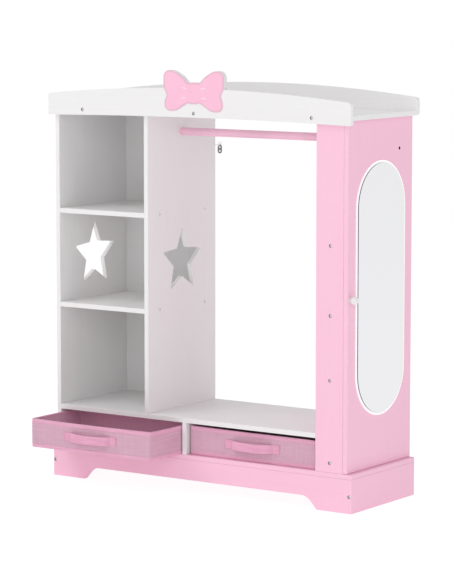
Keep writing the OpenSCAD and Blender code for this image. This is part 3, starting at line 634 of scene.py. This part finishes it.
def joined_rows(rows, ring, loop, start=0):
    """Faces between neighbouring rows of points.

    ring joins the last row to the first, and loop joins each row's ends."""
    count, width = len(rows), len(rows[0])
    faces = []
    for i in range(count if ring else count - 1):
        for j in range(width if loop else width - 1):
            a, b = i * width, (i + 1) % count * width
            k = (j + 1) % width
            faces.append([start + a + j, start + b + j, start + b + k, start + a + k])
    return faces


def closed_rows(rows, start=0):
    """Faces of a closed form: round rows of points, with a flat face on the first row and on the last."""
    width = len(rows[0])
    end = start + len(rows) * width
    return [*joined_rows(rows, ring=False, loop=True, start=start), list(range(start, start + width)),
            list(range(end - width, end))]


def make_shell(bin_, cloth, lining):
    """The bin's wall and floor in one skin: outside, over the rim, inside, and both faces of the floor."""
    h, t = bin_.height, BIN_WALL
    outside = [(-0.5 * MM, 0), (-0.1 * MM, 0.4 * MM), (0, 1.4 * MM)]
    outside += [(0, 1.4 * MM + (h - 3 * MM) * i / OUTSIDE_STEPS) for i in range(1, OUTSIDE_STEPS + 1)]
    rim = [(-0.5 * MM, h - 0.5 * MM), (-t / 2, h), (0.5 * MM - t, h - 0.5 * MM)]
    top = h - 1.6 * MM
    inside = [(-t, top - (top - BIN_FLOOR) * i / INSIDE_STEPS) for i in range(INSIDE_STEPS + 1)]
    profile = outside + rim + inside
    rows = [[bin_.point(s, o, z) for o, z in profile] for s in bin_.plan]
    points = [p for row in rows for p in row]
    faces = joined_rows(rows, ring=True, loop=False)
    width = len(profile)
    first_lining = len(outside) + 1
    lined = [i for i in range(len(faces)) if i % (width - 1) >= first_lining]
    faces.append([i * width for i in range(len(rows))])
    faces.append([i * width + width - 1 for i in range(len(rows))])
    lined.append(len(faces) - 1)
    return make_mesh(f"{bin_.side}_bin_shell", points, faces, [cloth, lining], bin_.body,
                     [f"{bin_.side}_bin"], lined)


def make_binding(bin_, tape_cloth, cloth):
    """Folded tape over the rim, a band round the foot, and a corded seam up each corner."""
    h, t = bin_.height, BIN_WALL
    drop = h - BINDING_DROP
    inner = h - INNER_DROP
    tape = [
        (-0.5 * MM, drop), (0.25 * MM, drop), (0.75 * MM, drop + 0.6 * MM), (0.6 * MM, drop + 2.2 * MM),
        (0.85 * MM, drop + 5 * MM), (0.8 * MM, h - 2 * MM), (0.5 * MM, h - 0.4 * MM), (-t / 3, h + 0.5 * MM),
        (-t * 2 / 3, h + 0.5 * MM), (-t - 0.5 * MM, h - 0.4 * MM), (-t - 0.8 * MM, h - 1.4 * MM),
        (-t - 0.7 * MM, inner + 0.6 * MM), (-t - 0.2 * MM, inner), (0.5 * MM - t, inner),
        (-t / 2, h - 1.5 * MM)
    ]
    band = [
        (-0.4 * MM, 0.1 * MM), (0.3 * MM, 0.2 * MM), (0.75 * MM, 0.9 * MM),
        (0.8 * MM, BOTTOM_BAND - 1.2 * MM), (0.5 * MM, BOTTOM_BAND - 0.2 * MM), (-0.4 * MM, BOTTOM_BAND)
    ]
    points, faces = [], []
    for profile in (tape, band):
        rows = [[bin_.point(s, o, z) for o, z in profile] for s in bin_.plan]
        faces += joined_rows(rows, ring=True, loop=True, start=len(points))
        points += [p for row in rows for p in row]
    taped = len(faces)
    turns = [math.tau * k / CORD_SIDES for k in range(CORD_SIDES)]
    low, high = BOTTOM_BAND * 0.7, drop + 1 * MM
    for station in corner_stations(bin_):
        rows = []
        for i in range(CORD_STEPS + 1):
            centre = bin_.point(station, 0.1 * MM, low + (high - low) * i / CORD_STEPS)
            rows.append([centre + Vector((CORD_R * math.cos(a), CORD_R * math.sin(a), 0)) for a in turns])
        faces += closed_rows(rows, len(points))
        points += [p for row in rows for p in row]
    return make_mesh(f"{bin_.side}_bin_binding", points, faces, [tape_cloth, cloth], bin_.body,
                     second_finish=range(taped, len(faces)))


def corner_stations(bin_):
    """The station in the middle of each of the bin's round corners."""
    turning = [i for i, s in enumerate(bin_.plan) if s.share == 0 and bin_.plan[i - 1].share != 0]
    return [bin_.plan[i + CORNER_STEPS // 2] for i in turning]


def stitches_along(path, outs, points, faces):
    """Adds a row of stitches along a path of points. Each is a small spindle that lies on the cloth."""
    travelled, wanted = 0.0, STITCH_PITCH / 2
    for (a, b), out in zip(zip(path, path[1:]), outs):
        step = (b - a).length
        while wanted < travelled + step:
            centre = a.lerp(b, (wanted - travelled) / step)
            run = (b - a).normalized()
            across = run.cross(out).normalized()
            start = len(points)
            for end in (-1, 1):
                points.append(centre + run * (end * STITCH_LENGTH / 2) - out * THREAD_R * 0.4)
            for along in (-0.25, 0.25):
                waist = centre + run * (along * STITCH_LENGTH)
                for side, lift in ((-1, 0), (0, 1), (1, 0), (0, -0.6)):
                    points.append(waist + (across * side + out * lift) * THREAD_R)
            for k in range(4):
                n = (k + 1) % 4
                faces.append([start, start + 2 + n, start + 2 + k])
                faces.append([start + 2 + k, start + 2 + n, start + 6 + n, start + 6 + k])
                faces.append([start + 1, start + 6 + k, start + 6 + n])
            wanted += STITCH_PITCH
        travelled += step


STRAP_WIDE = 162 * MM
STRAP_HIGH = 22 * MM
STRAP_THICK = 2.2 * MM
STRAP_TAB = 22 * MM
STRAP_BOW = 15 * MM
STRAP_DIP = 1.0 * MM
STRAP_RISE = 37.4 * MM
TAB_STEPS = 6
BOW_STEPS = 36
TAB_INSET = 2.6 * MM
# The share of its thickness that the strap loses towards the ends of its tabs.
TAB_PRESS = 0.5
# How far in front of the bin's box the strap's back lies at its tabs.
STRAP_SEAT = WALL_CROWN * 0.9
FRAY = 0.012
FRAYS_PER_M = 90


def strap_line(bin_):
    """Middle line of the strap: flat on the wall at each tab, and bowed out and dipped between them."""
    free = STRAP_WIDE - 2 * STRAP_TAB
    line = []
    for i in range(TAB_STEPS):
        line.append((-STRAP_WIDE / 2 + STRAP_TAB * i / TAB_STEPS, 0.0, 0.0))
    for i in range(BOW_STEPS + 1):
        t = i / BOW_STEPS
        share = math.sin(math.pi * t)
        line.append((free * (t - 0.5), STRAP_BOW * share ** 0.5, STRAP_DIP * share ** 0.8))
    for i in range(1, TAB_STEPS + 1):
        line.append((free / 2 + STRAP_TAB * i / TAB_STEPS, 0.0, 0.0))
    seat_y, rise_z = bin_.low.y - STRAP_SEAT, bin_.low.z + STRAP_RISE
    return [Vector((bin_.middle + x, seat_y - STRAP_THICK / 2 - bow, rise_z - dip)) for x, bow, dip in line]


def make_strap(bin_, webbing):
    """The strap handle: one webbing ribbon with thick selvedges, swept along its line."""
    half, thick = STRAP_HIGH / 2, STRAP_THICK / 2
    section = [(1.0, 0.55), (0.97, 0.95), (0.9, 1.0), (0.82, 0.82), (0.4, 0.86), (0.0, 0.9), (-0.4, 0.86),
               (-0.82, 0.82), (-0.9, 1.0), (-0.97, 0.95), (-1.0, 0.55)]
    section += [(h, -t) for h, t in reversed(section)]
    line = strap_line(bin_)
    free_half = STRAP_WIDE / 2 - STRAP_TAB
    rows = []
    for i, at in enumerate(line):
        run = (line[min(i + 1, len(line) - 1)] - line[max(i - 1, 0)]).normalized()
        out = Vector((run.y, -run.x, 0)).normalized()
        fray = 1 + FRAY * noise.noise(at * FRAYS_PER_M)
        pressed = thick * (1 - TAB_PRESS * max(0, abs(at.x - bin_.middle) - free_half) / STRAP_TAB)
        flat = out * (pressed - thick)
        rows.append([at + flat + Vector((0, 0, h * half * fray)) + out * (t * pressed) for h, t in section])
    points = [p for row in rows for p in row]
    return make_mesh(f"{bin_.side}_bin_strap", points, closed_rows(rows), [webbing], bin_.body,
                     [f"{bin_.side}_bin_handle"])


def make_stitching(bin_, thread):
    """Every stitch on a bin: along the binding, outside and in, round the foot, and on both tabs."""
    h, t = bin_.height, BIN_WALL
    rows = [(0.8 * MM, h - BINDING_DROP + 1.5 * MM, 1), (-t - 0.8 * MM, h - INNER_DROP + 1.4 * MM, -1),
            (0.8 * MM, BOTTOM_BAND - 1.6 * MM, 1)]
    points, faces = [], []
    for outward, z, way in rows:
        ring = bin_.plan + bin_.plan[:1]
        path = [bin_.point(s, outward, z) for s in ring]
        outs = [Vector((s.out.x, s.out.y, 0)) * way for s in ring]
        stitches_along(path, outs, points, faces)
    front = Vector((0, -1, 0))
    face_y = bin_.low.y - STRAP_SEAT - STRAP_THICK * 0.95
    high = STRAP_HIGH / 2 - TAB_INSET
    for side in (-1, 1):
        far = bin_.middle + side * (STRAP_WIDE / 2 - TAB_INSET)
        near = bin_.middle + side * (STRAP_WIDE / 2 - STRAP_TAB + TAB_INSET)
        top, bottom = bin_.low.z + STRAP_RISE + high, bin_.low.z + STRAP_RISE - high
        corners = [(far, top), (near, top), (near, bottom), (far, bottom), (far, top), (near, bottom)]
        path = [Vector((x, face_y, z)) for x, z in corners]
        stitches_along(path, [front] * len(path), points, faces)
        stitches_along([Vector((near, face_y, top)), Vector((far, face_y, bottom))], [front], points, faces)
    return make_mesh(f"{bin_.side}_bin_stitching", points, faces, [thread], bin_.body)


BOARD_RINGS = 9


def make_floor_board(bin_, lining):
    """Covered board in the bin's floor: soft edges, and a slight crown."""
    inset, thick, crown = BIN_WALL + 1.3 * MM, 3 * MM, 0.8 * MM
    plan = rectangle_plan(bin_.width - 2 * inset, bin_.depth - 2 * inset, BIN_CORNER * 0.7)
    middle = Vector((bin_.middle, bin_.low.y + bin_.depth / 2, bin_.low.z + BIN_FLOOR + 0.1 * MM))
    rings = [(1.0, 0.0, 0.0), (1.0, 0.6 * MM, 0.3), (1.0, 0.7 * MM, 0.75), (1.0, 0.0, 0.96)]
    rings += [(1 - i / BOARD_RINGS, 0.0, 1.0) for i in range(1, BOARD_RINGS)]
    rows = []
    for scale, outward, lift in rings:
        row = []
        for s in plan:
            flat = Vector((s.at.x, s.at.y - bin_.depth / 2 + inset)) * scale + s.out * outward
            rise = thick * lift + (crown * (1 - scale ** 2) if lift == 1 else 0)
            row.append(middle + Vector((flat.x, flat.y, rise)))
        rows.append(row)
    points = [p for row in rows for p in row]
    return make_mesh(f"{bin_.side}_bin_floor_board", points, closed_rows(rows), [lining], bin_.body,
                     [f"{bin_.side}_bin_insert"])


def make_bins():
    cloth = woven_cloth("bin_cloth", FABRIC_WARP, FABRIC_WEFT, FABRIC_SLUB, 0.55, 0.5 * MM)
    lining = woven_cloth("bin_lining", LINING_WARP, LINING_WEFT, LINING_WARP, 0.3, 0.3 * MM)
    webbing = woven_strap("strap_webbing_pink", STRAP_LIGHT, STRAP_DARK)
    tape = woven_strap("binding_tape", TAPE_LIGHT, TAPE_DARK)
    thread = sewing_thread()
    for side in ("left", "right"):
        bin_ = Bin(side)
        make_shell(bin_, cloth, lining)
        make_binding(bin_, tape, cloth)
        make_strap(bin_, webbing)
        make_stitching(bin_, thread)
        make_floor_board(bin_, lining)


# ---------- studio ----------

CAMERA_AT = (3.788, -5.6879, 1.3036)
CAMERA_AZIMUTH = math.radians(34.4585)
CAMERA_DIP = math.radians(6.911)
CAMERA_LENS = 166.3
FILM_LONG_SIDE = 36.0
AMBIENT = 0.57
LAMP_TARGET = (0, -0.15, 0.5)
LAMP_DISTANCE = 5.0
LAMP_SIZE = 3.0
# Azimuth and elevation in degrees, and watts. Azimuth 0 is straight in front, and 90 on the right.
LAMPS = {
    "soft_lamp_by_camera": (34, 15, 37),
    "soft_lamp_left": (-40, 45, 60),
    "soft_lamp_right": (88, 30, 20),
}
FLOOR_HALF = 14.0
# Where the floor is seen: its own glow, and how much of what is seen is that glow.
FLOOR_GLOW = 1.06
FLOOR_GLOW_SHARE = 0.8
# The light that the floor gives off besides what it reflects.
FLOOR_LIFT = 0.33


def place_camera():
    camera = bpy.data.objects.new("photo_camera", bpy.data.cameras.new("photo_camera"))
    camera.data.lens = CAMERA_LENS
    camera.data.sensor_width = FILM_LONG_SIDE
    level = math.cos(CAMERA_DIP)
    across, ahead = -math.sin(CAMERA_AZIMUTH) * level, math.cos(CAMERA_AZIMUTH) * level
    forward = Vector((across, ahead, -math.sin(CAMERA_DIP)))
    camera.location = CAMERA_AT
    camera.rotation_euler = forward.to_track_quat("-Z", "Y").to_euler()
    bpy.context.scene.collection.objects.link(camera)
    bpy.context.scene.camera = camera


def add_lamp(name, azimuth, elevation, power):
    """Soft square lamp that looks at the middle of the unit."""
    lamp = bpy.data.objects.new(name, bpy.data.lights.new(name, "AREA"))
    lamp.data.shape = "SQUARE"
    lamp.data.size = LAMP_SIZE
    lamp.data.energy = power
    a, e = math.radians(azimuth), math.radians(elevation)
    away = Vector((math.sin(a) * math.cos(e), -math.cos(a) * math.cos(e), math.sin(e)))
    lamp.location = Vector(LAMP_TARGET) + away * LAMP_DISTANCE
    lamp.rotation_euler = (-away).to_track_quat("-Z", "Y").to_euler()
    lamp.visible_glossy = False
    bpy.context.scene.collection.objects.link(lamp)


def seen_directly(tree):
    """1 for rays from the camera, a mirror or glass, and 0 for the rest."""
    path = tree.node("ShaderNodeLightPath", {}, {}, "Is Camera Ray")
    return path.most(path.other("Is Glossy Ray")).most(path.other("Is Transmission Ray"))


def light_world():
    """Even light from all round, which is plain white where it is seen."""
    world = bpy.data.worlds.new("white_studio")
    bpy.context.scene.world = world
    world.use_nodes = True
    sky = NodeTree(world.node_tree)
    background = sky.tree.nodes["Background"]
    sky.put(background.inputs["Color"], (1.0, 1.0, 1.0))
    seen = seen_directly(sky)
    sky.put(background.inputs["Strength"], AMBIENT + seen * (1 - AMBIENT))


def lay_floor():
    """Pale floor that lights the plinth from below. Where it is seen it is white and keeps a light shadow."""
    mesh = bpy.data.meshes.new("studio_floor")
    corners = [(-1, -1), (1, -1), (1, 1), (-1, 1)]
    mesh.from_pydata([(x * FLOOR_HALF, y * FLOOR_HALF, 0) for x, y in corners], [], [range(4)])
    floor = bpy.data.objects.new("studio_floor", mesh)
    bpy.context.scene.collection.objects.link(floor)
    finish = Finish("pale_floor", roughness=0.9, specular_ior_level=0.0, base_color=linear(FLOOR_PALE))
    finish.feed(emission_color=(1.0, 1.0, 1.0), emission_strength=FLOOR_LIFT)
    glow = finish.node("ShaderNodeEmission", {}, {"Strength": FLOOR_GLOW})
    lit = Signal(finish, finish.shader, "BSDF")
    share = seen_directly(finish) * FLOOR_GLOW_SHARE
    shown = finish.node("ShaderNodeMixShader", {}, {0: share, 1: lit, 2: glow})
    finish.put(finish.tree.nodes["Material Output"].inputs["Surface"], shown)
    mesh.materials.append(finish.material)


def set_up_studio():
    bpy.context.scene.view_settings.view_transform = "Standard"
    light_world()
    lay_floor()
    for name, (azimuth, elevation, power) in LAMPS.items():
        add_lamp(name, azimuth, elevation, power)


place_camera()
set_up_studio()
dress_packed_nodes()
make_bins()
